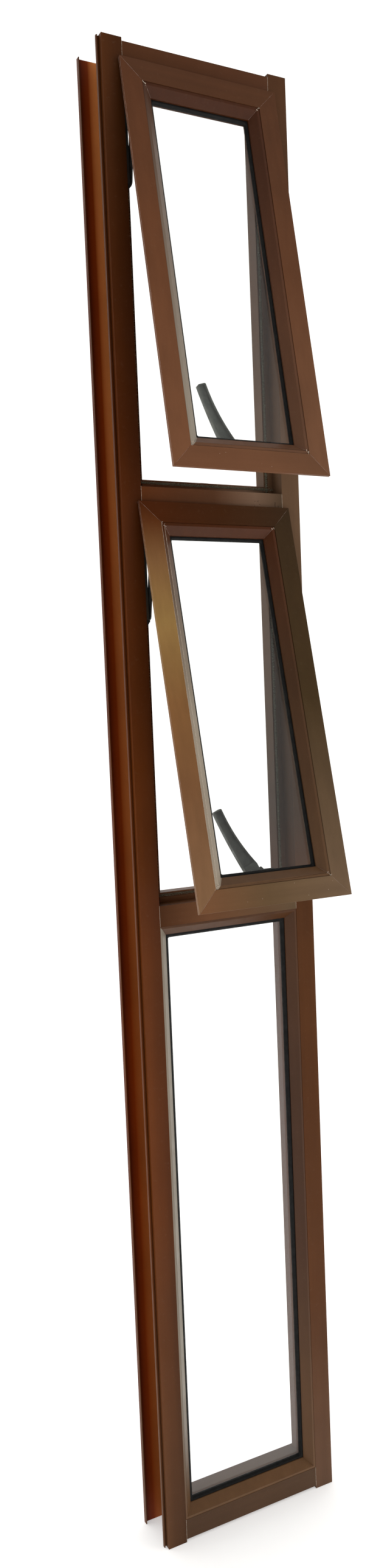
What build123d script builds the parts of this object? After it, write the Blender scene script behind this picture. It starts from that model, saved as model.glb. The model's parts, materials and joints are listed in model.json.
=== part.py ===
from build123d import *
import math
import os

os.makedirs("parts", exist_ok=True)

# Tall window unit: two top-hung vent sashes over a fixed light, in an extruded frame.
# X runs across the window, Y from the outside to the room, Z up.
# The origin is the middle of the sill rail's flat underside. Everything is in mm.

# Outer frame
frame_width = 328.0          # over the two jamb faces
frame_depth = 78.0
face_width = 34.0            # jambs, head, sill and lower transom
mid_face = 32.0              # upper transom
fixed_height = 999.0         # clear height of the fixed light
vent_height = 628.5          # clear height of each vent
jamb_overrun = 5.0           # jambs run past the head and the sill
wall = 1.8                   # extrusion wall
thin_wall = 1.5
flange_reach = 7.3           # rear flange beyond the jamb face
flange_lip = 7.8             # depth of the lip at the flange's edge
side_lip = 4.7               # plaster lip beyond the jamb face
side_lip_front = 7.3
box_depth = 12.0             # closed chamber behind the jamb face
front = -frame_depth / 2     # plane of the frame's outside face

# Stop that runs round every opening, measured from the rebate wall and the face
stop_height = 16.7
stop_front = 28.5
stop_back = 51.5
slot_start = 9.0             # pile slot in the stop's front
slot_depth = 1.5
pile_reach = 4.0

# Sash
overlap = 7.75               # sash face over the frame face
sash_stand_off = 6.0         # sash face in front of the frame face, closed
sash_lip = 5.0
sash_depth = 30.0
body_offset = 19.75          # sash edge to the side of its hollow body
groove_at = 33.4             # sash edge to the bead groove
pocket_at = 33.9
leg_end = 50.0               # sash edge to the end of the glazing leg
glass_offset = 38.0          # sash edge to the glass edge
glass_front = 18.0
glass_thick = 5.0
hinge_above = 3.0            # virtual hinge axis above the closed sash top
hinge_behind = 2.0           # and behind the sash face

# Stays, measured down from the sash top, or inward from the rebate wall
arm_length = 100.0
arm_width = 13.0
arm_pivot = (77.0, 12.5)     # down the sash, depth in the sash
link_length = 30.0
link_width = 12.0
link_pivot = (17.0, 14.0)
track_middle = 6.5           # track centre line behind the frame face
track_width = 12.0
track_height = 4.4           # off the rebate wall
track_span = (20.0, 182.0)
block_span = (182.4, 192.0)
block_height = 6.2           # stays below the arm
block_toe = 0.8              # height left at the block's lower end
foot_radius = 4.3
foot_thick = 1.2
foot_level = 1.95            # rebate wall to the foot
foot_neck = 2.6
arm_level = 6.7              # rebate wall to the near face of arm and link
arm_thick = 1.9
bar_thick = 2.2

# Lever handle, measured from its pivot on the sash's bottom rail
handle_down = 598.0          # pivot below the sash top
handle_base_back = 42.0      # depth of the base's room face
lever_front = 50.0           # depth of the lever's front at its root
lever_thick = 8.0
lever_length = 123.0
lever_sweep = 11.5           # how far the tip stands further into the room
lever_root = 20.0            # pivot to the start of the sweep
boss_radius = 11.0
pin_radius = 4.0
nose_reach = 19.5
nose_depth = (54.4, 58.0)    # behind the keeper's lug when locked
pocket_rim = 2.2             # wall left round the lever's hollow front
pocket_depth = 4.6

# Levels
half = frame_width / 2
rebate = half - face_width                      # rebate walls at X = -rebate and +rebate
sill_top = face_width
lower_transom = sill_top + fixed_height         # underside of each member
lower_vent = lower_transom + face_width
upper_transom = lower_vent + vent_height
upper_vent = upper_transom + mid_face
head = upper_vent + vent_height
frame_top = head + face_width
jamb_length = frame_top + 2 * jamb_overrun
sash_width = 2 * (rebate + overlap)
sash_height = vent_height + 2 * overlap

sashes = {
    "upper": dict(bottom=upper_vent, tilt=10.7, lever=16.9),
    "lower": dict(bottom=lower_vent, tilt=12.7, lever=22.8),
}
hands = {"left": -1, "right": 1}


def leaf(a0, a1, b0, b1):
    """One straight wall of a section, between two pairs of coordinates."""
    with Locations(((a0 + a1) / 2, (b0 + b1) / 2)):
        Rectangle(abs(a1 - a0), abs(b1 - b0))


def save(part, name):
    """Label a finished piece and write it as its own STEP file."""
    part.label = name
    export_step(part, f"parts/{name}.step")


def stop_section(base, way, slotted):
    """Hollow stop that stands off a rebate wall at base; a slotted one takes pile."""
    end = base + way * stop_height
    leaf(base, end, stop_back - thin_wall, stop_back)
    leaf(end - way * thin_wall, end, stop_front, stop_back)
    if slotted:
        edge = base + way * slot_start
        floor = stop_front + slot_depth
        leaf(base, edge, stop_front, stop_front + thin_wall)
        leaf(edge - way * thin_wall, edge, stop_front, floor + thin_wall)
        leaf(edge - way * thin_wall, end, floor, floor + thin_wall)
    else:
        leaf(base, end, stop_front, stop_front + thin_wall)


def across(x):
    """Plane of a cross member's section: local x is up, local y is depth."""
    return Plane(origin=(x, front, 0), x_dir=(0, 0, 1), z_dir=(-1, 0, 0))


def sideways(hand, inset, depth, height):
    """Plane that faces the middle of the window, inset from one frame side."""
    origin = (hand * (half - inset), front + depth, height)
    return Plane(origin=origin, x_dir=(0, 0, 1), z_dir=(-hand, 0, 0))


# ---- frame fasteners: where the screws and fixings go ----
port_depth = 20.0
rear_port_depth = 64.0
port_radius = 4.0
port_bore = 2.1
port_drop = 5.0
fixing_heights = (200.0, 900.0, 1500.0, 2200.0)
fixing_depth = 64.0
fixing_radius = 4.0
shank_radius = 1.9
screw_head = 4.0
frame_screw_length = 32.0
seat_clearance = 0.1         # hole over shank

screw_places = [
    (sill_top - port_drop, port_depth),
    (sill_top - port_drop, rear_port_depth),
    (lower_transom + port_drop, port_depth),
    (lower_vent - port_drop, port_depth),
    (upper_transom + port_drop, port_depth),
    (upper_vent - port_drop, port_depth),
    (head + port_drop, port_depth),
    (head + port_drop, rear_port_depth),
]
track_screw_drops = (70.0, 110.0, 150.0)
track_screw_radius = 1.6
track_base = 1.6
track_side = 1.2
track_lip = (3.5, 2.1)       # height of the lips' underside, and their reach


def sash_top(bottom):
    """Height of a closed sash's top edge over a vent that starts at bottom."""
    return bottom + vent_height + overlap


track_screw_places = [
    sash_top(sash["bottom"]) - drop for sash in sashes.values() for drop in track_screw_drops
]


# ---- jambs ----
def jamb(hand):
    low = hand < 0
    end = -jamb_overrun if low else jamb_length - jamb_overrun
    place = Plane(origin=(hand * half, front, end), x_dir=(-hand, 0, 0), z_dir=(0, 0, -hand))
    with BuildPart() as body:
        with BuildSketch(place):
            leaf(0, face_width, 0, wall)
            leaf(0, wall, 0, box_depth)
            leaf(-side_lip, face_width, box_depth - wall, box_depth)
            leaf(-side_lip, -side_lip + wall, side_lip_front, box_depth)
            leaf(face_width - wall, face_width, 0, frame_depth)
            leaf(-flange_reach, face_width, frame_depth - thin_wall, frame_depth)
            leaf(-flange_reach, -flange_reach + thin_wall, frame_depth - flange_lip, frame_depth)
            stop_section(face_width, 1, True)
        extrude(amount=jamb_length)
        web_face = face_width - 2 * wall
        for height in fixing_heights:
            with BuildSketch(sideways(hand, web_face, fixing_depth, height)):
                Circle(fixing_radius)
            extrude(amount=3 * wall, mode=Mode.SUBTRACT)
        for height, depth in screw_places:
            with BuildSketch(sideways(hand, web_face, depth, height)):
                Circle(port_bore)
            extrude(amount=3 * wall, mode=Mode.SUBTRACT)
        for height in track_screw_places:
            with BuildSketch(sideways(hand, web_face, track_middle, height)):
                Circle(track_screw_radius + seat_clearance)
            extrude(amount=3 * wall, mode=Mode.SUBTRACT)
    return body.part


for name, hand in hands.items():
    save(jamb(hand), f"{name}_jamb")


# ---- cross members ----
def screw_port(height, depth, way):
    """Round screw port joined to the wall beyond it by a short neck."""
    with Locations((height, depth)):
        Circle(port_radius)
    leaf(height, height + way * port_drop, depth - wall, depth + wall)
    with Locations((height, depth)):
        Circle(port_bore, mode=Mode.SUBTRACT)


def notch_for_jambs(low, high):
    """Cut both ends of a cross member back where the jambs' own stops run through."""
    for hand in hands.values():
        middle = (hand * (rebate - stop_height / 2), front + (stop_front + stop_back) / 2, (low + high) / 2)
        with Locations(middle):
            Box(stop_height, stop_back - stop_front, high - low, mode=Mode.SUBTRACT)


with BuildPart() as head_rail:
    with BuildSketch(across(rebate)):
        leaf(head, frame_top, 0, wall)
        leaf(head, head + wall, 0, frame_depth)
        leaf(head, frame_top, box_depth - wall, box_depth)
        leaf(frame_top - wall, frame_top, 0, box_depth)
        leaf(head, frame_top, frame_depth - thin_wall, frame_depth)
        stop_section(head, -1, True)
        screw_port(head + port_drop, port_depth, -1)
        screw_port(head + port_drop, rear_port_depth, -1)
    extrude(amount=2 * rebate)
    notch_for_jambs(head - stop_height, frame_top)
save(head_rail.part, "head_rail")


def transom(bottom, face, lower_slotted):
    top = bottom + face
    with BuildPart() as body:
        with BuildSketch(across(rebate)):
            leaf(bottom, top, 0, wall)
            leaf(bottom, bottom + wall, 0, stop_back)
            leaf(top - wall, top, 0, stop_back)
            leaf(bottom, top, stop_front - wall, stop_front)
            leaf(bottom, top, stop_back - wall, stop_back)
            stop_section(top, 1, True)
            stop_section(bottom, -1, lower_slotted)
            screw_port(bottom + port_drop, port_depth, -1)
            screw_port(top - port_drop, port_depth, 1)
        extrude(amount=2 * rebate)
        notch_for_jambs(bottom - stop_height, top + stop_height)
    return body.part


save(transom(upper_transom, mid_face, True), "upper_transom")
save(transom(lower_transom, face_width, False), "lower_transom")

with BuildPart() as sill_rail:
    with BuildSketch(across(rebate)):
        leaf(0, sill_top, 0, wall)
        leaf(0, sill_top, frame_depth - wall, frame_depth)
        leaf(0, wall, 0, frame_depth)
        leaf(sill_top - wall, sill_top, 0, frame_depth)
        leaf(0, sill_top, stop_front - wall, stop_front)
        leaf(0, sill_top, stop_back, stop_back + wall)
        stop_section(sill_top, 1, False)
        screw_port(sill_top - port_drop, port_depth, 1)
        screw_port(sill_top - port_drop, rear_port_depth, 1)
    extrude(amount=2 * rebate)
    notch_for_jambs(0, sill_top + stop_height)
save(sill_rail.part, "sill_rail")


# ---- screws ----
def disc(plane, radius):
    """Round face on a plane."""
    with BuildSketch(plane) as face:
        Circle(radius)
    return face.sketch


def cross_recess(plane, size, sink):
    """Plain cross-shaped drive cut into a screw head whose face is the plane."""
    with BuildSketch(plane) as cross:
        Rectangle(size, size / 5)
        Rectangle(size / 5, size)
    extrude(cross.sketch, amount=-sink, mode=Mode.SUBTRACT)


def pan_screw(plane, head_radius, head_height, radius, length):
    """Screw driven down the plane's -Z, its head standing on the plane."""
    extrude(disc(plane, head_radius), amount=head_height, taper=12)
    extrude(disc(plane, radius), amount=-length)
    cross_recess(plane.offset(head_height), head_radius, head_height / 2)


def flush_screw(plane, head_radius, head_height, radius, length):
    """Countersunk screw whose head is level with the plane."""
    loft([disc(plane, head_radius).face(), disc(plane.offset(-head_height), radius).face()])
    extrude(disc(plane.offset(-head_height), radius), amount=-length)
    cross_recess(plane, head_radius, head_height / 2)


def sunk_hole(plane, head_radius, head_height, radius, through):
    """Countersunk hole cut down the plane's -Z."""
    loft([disc(plane, head_radius).face(), disc(plane.offset(-head_height), radius).face()], mode=Mode.SUBTRACT)
    extrude(disc(plane, radius), amount=-through, mode=Mode.SUBTRACT)


with BuildPart() as frame_screws:
    for hand in hands.values():
        for height, depth in screw_places:
            seat = Plane(origin=(hand * (rebate + wall), front + depth, height), z_dir=(hand, 0, 0))
            pan_screw(seat, screw_head, 0.65 * screw_head, shank_radius, frame_screw_length)
save(frame_screws.part, "frame_screws")

# ---- pile weather seals in the stops' slots ----
pile_foot = (slot_start + 0.1, stop_height - thin_wall - 0.1)
pile_tuft = (slot_start + 0.8, stop_height - thin_wall - 0.8)


def pile_section(base, way):
    leaf(base + way * pile_foot[0], base + way * pile_foot[1], stop_front + 0.2, stop_front + slot_depth)
    leaf(base + way * pile_tuft[0], base + way * pile_tuft[1], stop_front - pile_reach, stop_front + 0.2)


with BuildPart() as vent_pile:
    for sash in sashes.values():
        low = sash["bottom"]
        clear = 2 * (rebate - stop_height)
        for base, way in ((low, 1), (low + vent_height, -1)):
            with BuildSketch(across(clear / 2)):
                pile_section(base, way)
            extrude(amount=clear)
        for hand in hands.values():
            end = low if hand < 0 else low + vent_height
            place = Plane(origin=(hand * half, front, end), x_dir=(-hand, 0, 0), z_dir=(0, 0, -hand))
            with BuildSketch(place):
                pile_section(face_width, 1)
            extrude(amount=vent_height)
save(vent_pile.part, "vent_pile")


# ---- mitred bars round a rectangle ----
def rectangle_sides(plane, width, height):
    """Corner, direction along and direction inward of each side, clockwise from the top."""
    across_x, up = plane.x_dir, plane.y_dir
    top_left = plane.origin
    top_right = top_left + across_x * width
    bottom_right = top_right - up * height
    bottom_left = top_left - up * height
    return {
        "top": (top_left, across_x, -up, width),
        "right": (top_right, -up, -across_x, height),
        "bottom": (bottom_right, -across_x, up, width),
        "left": (bottom_left, up, across_x, height),
    }


def mitred_bar(side, outline):
    """Bar with 45 degree ends; the outline function draws offset inward against depth."""
    corner, along, inward, length = side
    with BuildPart() as bar:
        with BuildSketch(Plane(origin=corner, x_dir=inward, z_dir=along)):
            outline()
        extrude(amount=length)
        split(bisect_by=Plane(origin=corner, z_dir=along - inward), keep=Keep.TOP)
        split(bisect_by=Plane(origin=corner + along * length, z_dir=-along - inward), keep=Keep.TOP)
    return bar.part


bead_skin = 1.5


def bead_outline(start, ledge_end, bevel_end, ledge, bevel, back, foot):
    """Snap-in glazing bead: ledge, long bevel, and a foot along the pocket wall."""
    skin = bead_skin
    with BuildLine() as edge:
        Polyline(
            (start, ledge),
            (ledge_end, ledge),
            (bevel_end, bevel),
            (bevel_end, back),
            (bevel_end - skin, back),
            (bevel_end - skin, bevel + 0.6),
            (ledge_end - 0.5, ledge + skin),
            (start + skin, ledge + skin),
            (start + skin, foot),
            (start, foot),
            close=True,
        )
    make_face(edge.edges())


def ring(plane, width, height, outer, inner, near, far, radius):
    """Rectangular ring between two offsets and two depths, its inner corners rounded."""
    middle = plane.origin + plane.x_dir * (width / 2) - plane.y_dir * (height / 2)
    place = Plane(origin=middle, x_dir=plane.x_dir, z_dir=plane.z_dir)
    with BuildPart() as body:
        with BuildSketch(place.offset(-near)):
            Rectangle(width - 2 * outer, height - 2 * outer)
            RectangleRounded(width - 2 * inner, height - 2 * inner, radius, mode=Mode.SUBTRACT)
        extrude(amount=near - far)
    return body.part


def bevel_ring(body, plane, near, rise):
    """Slope the front inner edge of a gasket ring down towards the glass."""
    with BuildPart() as done:
        add(body)
        rim = done.faces().sort_by(Axis(plane.origin, plane.z_dir))[-1]
        chamfer(rim.inner_wires()[0].edges(), length=rise)
    return done.part


def block_row(plane, width, height, offset, thick, near, far, length):
    """Two glazing blocks under the bottom edge of a pane and two above its top edge."""
    middle_depth = -(near + far) / 2
    with BuildPart() as blocks:
        for v in (-(offset - thick / 2), -(height - offset + thick / 2)):
            for u in (width / 4, 3 * width / 4):
                with Locations(plane * Location((u, v, middle_depth))):
                    Box(length, thick, far - near)
    return blocks.part


# ---- fixed light ----
fixed_plane = Plane(origin=(-rebate, front, lower_transom), x_dir=(1, 0, 0), z_dir=(0, -1, 0))
fixed_sides = rectangle_sides(fixed_plane, 2 * rebate, fixed_height)
fixed_glass_front = 19.2
fixed_edge = 4.0             # rebate wall to the glass edge
fixed_bead = dict(start=0, ledge_end=3.7, bevel_end=16, ledge=0.5, bevel=13.7, back=15.2, foot=18)
gasket_rise = 2.6            # bevel along a gasket's front inner edge
gasket_corner = 2.5
block_length = 30.0
block_gap = 1.5              # glazing block to the wall beside it

with BuildPart() as fixed_glass:
    pane_middle = (0, front + fixed_glass_front, sill_top + fixed_height / 2)
    with BuildSketch(Plane(origin=pane_middle, x_dir=(1, 0, 0), z_dir=(0, -1, 0))):
        Rectangle(2 * (rebate - fixed_edge), fixed_height - 2 * fixed_edge)
    extrude(amount=-glass_thick)
save(fixed_glass.part, "fixed_glass")

fixed_beads = [
    mitred_bar(side, lambda: bead_outline(**fixed_bead))
    for side in fixed_sides.values()
]
save(Compound(children=fixed_beads), "fixed_beads")

fixed_size = (2 * rebate, fixed_height)
outer = ring(fixed_plane, *fixed_size, 12, 22, fixed_bead["back"], fixed_glass_front, gasket_corner)
save(bevel_ring(outer, fixed_plane, fixed_bead["back"], gasket_rise), "fixed_outer_gasket")
fixed_glass_back = fixed_glass_front + glass_thick
inner = ring(fixed_plane, *fixed_size, 6, 18, fixed_glass_back, stop_front, gasket_corner)
save(inner, "fixed_inner_gasket")
blocks = block_row(
    fixed_plane, *fixed_size, fixed_edge, fixed_edge - block_gap, fixed_glass_front, fixed_glass_back,
    block_length
)
save(blocks, "fixed_setting_blocks")


# ---- stay tracks on the rebate walls ----
def stay_track(hand, top):
    """Channel with two small lips that hold the sliding feet."""
    low, high = top - track_span[1], top - track_span[0]
    near = track_middle - track_width / 2
    far = track_middle + track_width / 2
    base, side = track_base, track_side
    lip_from, lip = track_lip
    place = Plane(origin=(hand * rebate, front, low), x_dir=(-1, 0, 0), z_dir=(0, 0, -1))
    if hand < 0:
        place = Plane(origin=(hand * rebate, front, high), x_dir=(1, 0, 0), z_dir=(0, 0, 1))
    length = high - low
    with BuildPart() as body:
        with BuildSketch(place):
            leaf(0, base, near, far)
            leaf(0, track_height, near, near + side)
            leaf(0, track_height, far - side, far)
            leaf(lip_from, track_height, near, near + lip)
            leaf(lip_from, track_height, far - lip, far)
        extrude(amount=-length)
        for drop in track_screw_drops:
            seat = sideways(hand, face_width + base, track_middle, top - drop)
            sunk_hole(seat, 2 * track_screw_radius, 1.4, track_screw_radius + seat_clearance, 2 * base)
    return body.part


for level, sash in sashes.items():
    for name, hand in hands.items():
        save(stay_track(hand, sash_top(sash["bottom"])), f"{level}_{name}_stay_track")

with BuildPart() as track_end_blocks:
    for sash in sashes.values():
        for hand in hands.values():
            top = sash_top(sash["bottom"])
            start = Plane(
                origin=(hand * rebate, front + track_middle - track_width / 2, top - block_span[1]),
                x_dir=(-hand, 0, 0), z_dir=(0, hand, 0)
            )
            rise = hand * (block_span[0] - block_span[1])
            with BuildSketch(start):
                with BuildLine():
                    Polyline(
                        (0, 0),
                        (block_toe, 0),
                        (block_height, 0.75 * rise),
                        (block_height, rise),
                        (0, rise),
                        close=True,
                    )
                make_face()
            extrude(amount=hand * track_width)
save(track_end_blocks.part, "track_end_blocks")

# ---- keepers on the transoms' stops ----
keeper_thick = 1.5
keeper_size = (50.0, 11.0)
keeper_x = 5.0
keeper_depth = 42.5
keeper_screw_x = (-14.0, 24.0)
lug_span = (1.0, 15.0)
lug_depth = (44.0, 48.0)
lug_height = 3.8             # above the stop

with BuildPart() as keepers:
    for sash in sashes.values():
        seat = sash["bottom"] + stop_height
        with Locations((keeper_x, front + keeper_depth, seat + keeper_thick / 2)):
            Box(*keeper_size, keeper_thick)
        with Locations((sum(lug_span) / 2, front + sum(lug_depth) / 2, seat + lug_height / 2)):
            Box(lug_span[1] - lug_span[0], lug_depth[1] - lug_depth[0], lug_height)
        for x in keeper_screw_x:
            face = Plane(origin=(x, front + keeper_depth, seat + keeper_thick), z_dir=(0, 0, 1))
            sunk_hole(face, 3.0, 1.3, track_screw_radius + seat_clearance, 2 * keeper_thick)
save(keepers.part, "keepers")

with BuildPart() as fitting_screws:
    for sash in sashes.values():
        top = sash_top(sash["bottom"])
        for hand in hands.values():
            for drop in track_screw_drops:
                seat = sideways(hand, face_width + track_base, track_middle, top - drop)
                flush_screw(seat.offset(-0.05), 3.1, 1.35, track_screw_radius, 9)
        for x in keeper_screw_x:
            height = sash["bottom"] + stop_height + keeper_thick
            face = Plane(origin=(x, front + keeper_depth, height), z_dir=(0, 0, 1))
            flush_screw(face.offset(-0.05), 2.9, 1.25, track_screw_radius, 0.1)
save(fitting_screws.part, "fitting_screws")


# ---- sashes ----
def hinge_point(sash):
    """Height and depth of a sash's virtual hinge axis."""
    return sash_top(sash["bottom"]) + hinge_above, front - sash_stand_off + hinge_behind


def sash_plane(sash):
    """Plane at the sash's top left outside corner, as it stands open at rest."""
    tilt = math.radians(sash["tilt"])
    height, depth = hinge_point(sash)
    out = Vector(0, -math.cos(tilt), math.sin(tilt))
    up = Vector(0, math.sin(tilt), math.cos(tilt))
    corner = Vector(-sash_width / 2, depth, height) + out * hinge_behind - up * hinge_above
    return Plane(origin=corner, x_dir=(1, 0, 0), z_dir=out)


def on_sash(plane, u, down, depth):
    """World point from across, down and into the sash."""
    return plane.from_local_coords((u, -down, -depth))


def sash_outline():
    leaf(0, groove_at, 0, wall)
    leaf(0, thin_wall, 0, sash_lip)
    leaf(body_offset, body_offset + wall, 0, sash_depth)
    leaf(pocket_at - wall, pocket_at, wall, sash_depth)
    leaf(body_offset, leg_end, sash_depth - wall, sash_depth)
    leaf(leg_end - thin_wall, leg_end, sash_depth - 4, sash_depth)
    leaf(groove_at - wall, groove_at, 0, wall)


def corner_cleat(plane, corner_u, corner_down, way_u, way_down):
    """L-shaped block pressed into the hollow of two mitred bars."""
    start, thick, leg = body_offset + wall + 0.25, 10.0, 34.0
    deep = (wall + 0.4, sash_depth - wall - 0.4)
    centre_depth = sum(deep) / 2
    for du, dd in ((leg, thick), (thick, leg)):
        u = corner_u + way_u * (start + du / 2)
        down = corner_down + way_down * (start + dd / 2)
        with Locations(plane * Location((u, -down, -centre_depth))):
            Box(du, dd, deep[1] - deep[0])


def stay_foot(plane):
    """Round nylon foot and its neck, from the track up to the arm's near face."""
    under = plane.offset(foot_level - arm_level)
    extrude(disc(under, foot_radius), amount=foot_thick)
    extrude(disc(under, foot_neck), amount=arm_level - foot_level)


def stay_strip(hand, pivot, length, width):
    """Flat arm with its pivot hole at one end and a sliding foot at the other."""
    track_y = front + track_middle
    foot_z = pivot.Z - math.sqrt(length**2 - (track_y - pivot.Y) ** 2)
    foot = Vector(pivot.X, track_y, foot_z)
    x = hand * (rebate - arm_level)
    inward = Vector(-hand, 0, 0)
    start = Plane(origin=(x, pivot.Y, pivot.Z), x_dir=(foot - pivot).normalized(), z_dir=inward)
    finish = Plane(origin=(x, foot.Y, foot.Z), x_dir=(foot - pivot).normalized(), z_dir=inward)
    with BuildPart() as strip:
        with BuildSketch(start):
            with Locations((length / 2, 0)):
                SlotCenterToCenter(length, width)
            Circle(3.05, mode=Mode.SUBTRACT)
        extrude(amount=arm_thick)
        stay_foot(finish)
    return strip.part


def lever_blade(flat, rim, first, last):
    """Curved outline of the lever seen from outside, drawn inside its edge by rim."""
    middle = lever_length / 2
    with BuildPart() as body:
        with BuildSketch(flat.offset(-(lever_front - wall))):
            with BuildLine():
                right = ThreePointArc((11.5 - rim, first), (4.6 - rim, middle), (7.4 - rim, last))
                left = ThreePointArc((-7.4 + rim, last), (-13.4 + rim, middle), (-14 + rim, first))
                Line(right @ 1, left @ 0)
                Line(left @ 1, right @ 0)
            tip_face = make_face()
            tip_corners = tip_face.vertices().sort_by(Axis(flat.origin, flat.y_dir))[-2:]
            fillet(tip_corners, 2.4 - rim / 2)
        extrude(amount=-(lever_sweep + 2 * lever_thick))
    return body.part


def lever_band(flat, front_cut, back_cut):
    """Side view of the lever's sweep into the room, between two depths at its root."""
    end = lever_length + 3
    knee = 0.6 * lever_length
    near = lever_front + front_cut
    far = lever_front + back_cut
    edgewise = Plane(origin=flat.origin, x_dir=flat.y_dir, z_dir=-flat.x_dir)
    with BuildPart() as body:
        with BuildSketch(edgewise):
            with BuildLine():
                near_arc = ThreePointArc(
                    (lever_root, near), (knee, near + 0.42 * lever_sweep), (end, near + lever_sweep)
                )
                far_arc = ThreePointArc(
                    (end, far + lever_sweep), (knee, far + 0.42 * lever_sweep), (lever_root, far)
                )
                Line(near_arc @ 1, far_arc @ 0)
                Line(far_arc @ 1, (0, far))
                Line((0, far), (0, near))
                Line((0, near), near_arc @ 0)
            make_face()
        extrude(amount=2 * boss_radius, both=True)
    return body.part


def lever_part(plane, lean):
    """Curved hollow-fronted lever with its boss and locking nose, leaning from upright."""
    turn = math.radians(lean)
    side = plane.x_dir * math.cos(turn) + plane.y_dir * math.sin(turn)
    hub = on_sash(plane, sash_width / 2, handle_down, 0)
    flat = Plane(origin=hub, x_dir=side, z_dir=plane.z_dir)
    blade = lever_blade(flat, 0, lever_root, lever_length)
    band = lever_band(flat, 0, lever_thick)
    pocket_blade = lever_blade(flat, pocket_rim, lever_root + 5, lever_length - pocket_rim)
    pocket_band = lever_band(flat, -2, pocket_depth)
    with BuildPart() as hollow:
        add(pocket_blade)
        add(pocket_band, mode=Mode.INTERSECT)
    with BuildPart() as lever:
        add(blade)
        add(band, mode=Mode.INTERSECT)
        add(hollow.part, mode=Mode.SUBTRACT)
        with BuildSketch(flat.offset(-(lever_front + lever_thick))):
            with BuildLine():
                foot = lever_root + 0.5
                Polyline((-14, foot), (-boss_radius, 0), (boss_radius, 0), (11.5, foot), close=True)
            make_face()
            Circle(boss_radius)
        extrude(amount=lever_thick)
        with BuildSketch(flat.offset(-(handle_base_back + 0.4))):
            Circle(boss_radius)
        extrude(amount=-(lever_front - handle_base_back))
        with BuildSketch(flat.offset(-nose_depth[0])):
            Polygon((6, -4), (nose_reach, -4), (nose_reach, 7.5), (nose_reach - 2, 11.7), (6, 11.7), align=None)
        extrude(amount=nose_depth[0] - nose_depth[1])
        with BuildSketch(flat.offset(-handle_base_back)):
            Circle(pin_radius + 0.05)
        extrude(amount=-lever_length / 3, mode=Mode.SUBTRACT)
    return lever.part


base_size = (44.0, 26.0)
base_thick = 4.0
base_screw = (16.0, 6.0, 1.8)     # to each side of the hub, below it, and the shank's radius


def base_screw_seats(plane):
    """Planes on the handle base's room face, one for each of its screws."""
    away, down, _ = base_screw
    spots = [
        on_sash(plane, sash_width / 2 + hand * away, handle_down + down, sash_depth + base_thick)
        for hand in hands.values()
    ]
    return [Plane(origin=at, x_dir=plane.x_dir, z_dir=-plane.z_dir) for at in spots]


def handle_base(plane):
    """Screwed-on base with sloping shoulders, bored for the lever's pin."""
    centre = on_sash(plane, sash_width / 2, handle_down + 1, sash_depth)
    place = Plane(origin=centre, x_dir=plane.x_dir, z_dir=-plane.z_dir)
    hub = on_sash(plane, sash_width / 2, handle_down, sash_depth)
    hub_place = Plane(origin=hub, x_dir=plane.x_dir, z_dir=-plane.z_dir)
    with BuildPart() as base:
        with BuildSketch(place):
            RectangleRounded(*base_size, 5)
        extrude(amount=base_thick)
        with BuildSketch(hub_place.offset(base_thick)):
            Circle(boss_radius)
        extrude(amount=handle_base_back - sash_depth - base_thick)
        with BuildSketch(hub_place):
            Circle(pin_radius)
        extrude(amount=handle_base_back - sash_depth, mode=Mode.SUBTRACT)
        for seat in base_screw_seats(plane):
            with BuildSketch(seat):
                Circle(base_screw[2] + seat_clearance)
            extrude(amount=-base_thick, mode=Mode.SUBTRACT)
    return base.part


sash_bead = dict(start=pocket_at, ledge_end=38.6, bevel_end=50.8, ledge=0.8, bevel=11.2, back=14, foot=22)
sash_size = (sash_width, sash_height)
glass_back = glass_front + glass_thick
stay_bar_span = (10.5, 132.0)     # down the sash
stay_bar_depths = (5.5, 20.5)
bar_screw_drops = (42.0, 60.0, 104.0, 122.0)
rivet = dict(collar=6.0, shank=3.0, head=5.0, head_height=1.2, slack=0.3)

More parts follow.
